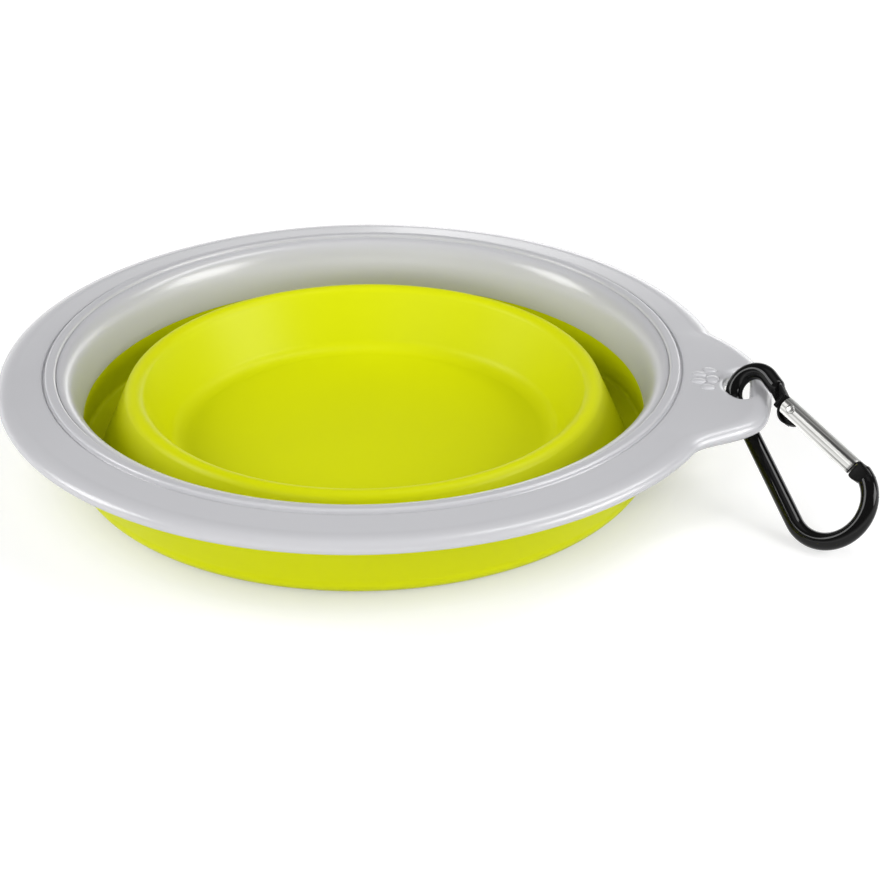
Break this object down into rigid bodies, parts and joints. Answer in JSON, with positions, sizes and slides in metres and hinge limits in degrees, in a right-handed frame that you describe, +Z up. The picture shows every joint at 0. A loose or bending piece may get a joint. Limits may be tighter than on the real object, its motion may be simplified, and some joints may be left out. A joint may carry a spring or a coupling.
{
  "type": "collapsible pet bowl",
  "caption": "Collapsible pet bowl folded flat: hard grey rim with a carrying tab, soft green folding body, and a carabiner with a sprung gate hooked through the tab.",
  "frame": {"origin": "centre of the base's flat underside, on the bowl's axis", "axes": "+Z up along the bowl's axis, +X towards the carrying tab"},
  "size_m": [0.1549, 0.129, 0.021],
  "materials": {
    "rim_plastic": "satin moulded, light grey",
    "soft_body": "smooth soft elastomer, lime green",
    "black_rod": "glossy black",
    "gate_sheet": "bright folded sheet",
    "pin_steel": "plain steel"
  },
  "bodies": {
    "base": {"inner_bowl": "soft_body", "folding_wall": "soft_body"},
    "rim": {"rim_frame": "rim_plastic", "outer_wall": "soft_body"},
    "carabiner": {"carabiner_body": "black_rod", "gate_rivet": "pin_steel"},
    "gate": {"carabiner_gate": "gate_sheet", "gate_spring": "pin_steel"},
    "plunger": {"gate_plunger": "pin_steel"}
  },
  "joints": [
    {"name": "bowl_expand", "type": "slide", "parent": "base", "child": "rim", "axis": [0, 0, 1], "range_m": [0, 0.022], "deforming": ["folding_wall"]},
    {"name": "carabiner_swing", "type": "hinge", "parent": "rim", "child": "carabiner", "pos_m": [0.0704, 0, 0.0156], "axis": [0, -1, 0], "range_deg": [-12, 100]},
    {"name": "gate_open", "type": "hinge", "parent": "carabiner", "child": "gate", "pos_m": [0.07608, -0.00794, 0.01609], "axis": [0.476, 0.6257, -0.618], "range_deg": [0, 30], "stiffness_Nm_per_rad": 0.002, "springref_deg": -17.19},
    {"name": "plunger_slide", "type": "slide", "parent": "gate", "child": "plunger", "axis": [0.6499, -0.7237, -0.2321], "range_m": [0, 0.00047], "deforming": ["gate_spring"]}
  ],
  "couplings": [
    {"joint": "gate_open", "follows": "plunger_slide", "rad_per_m": 1080}
  ]
}
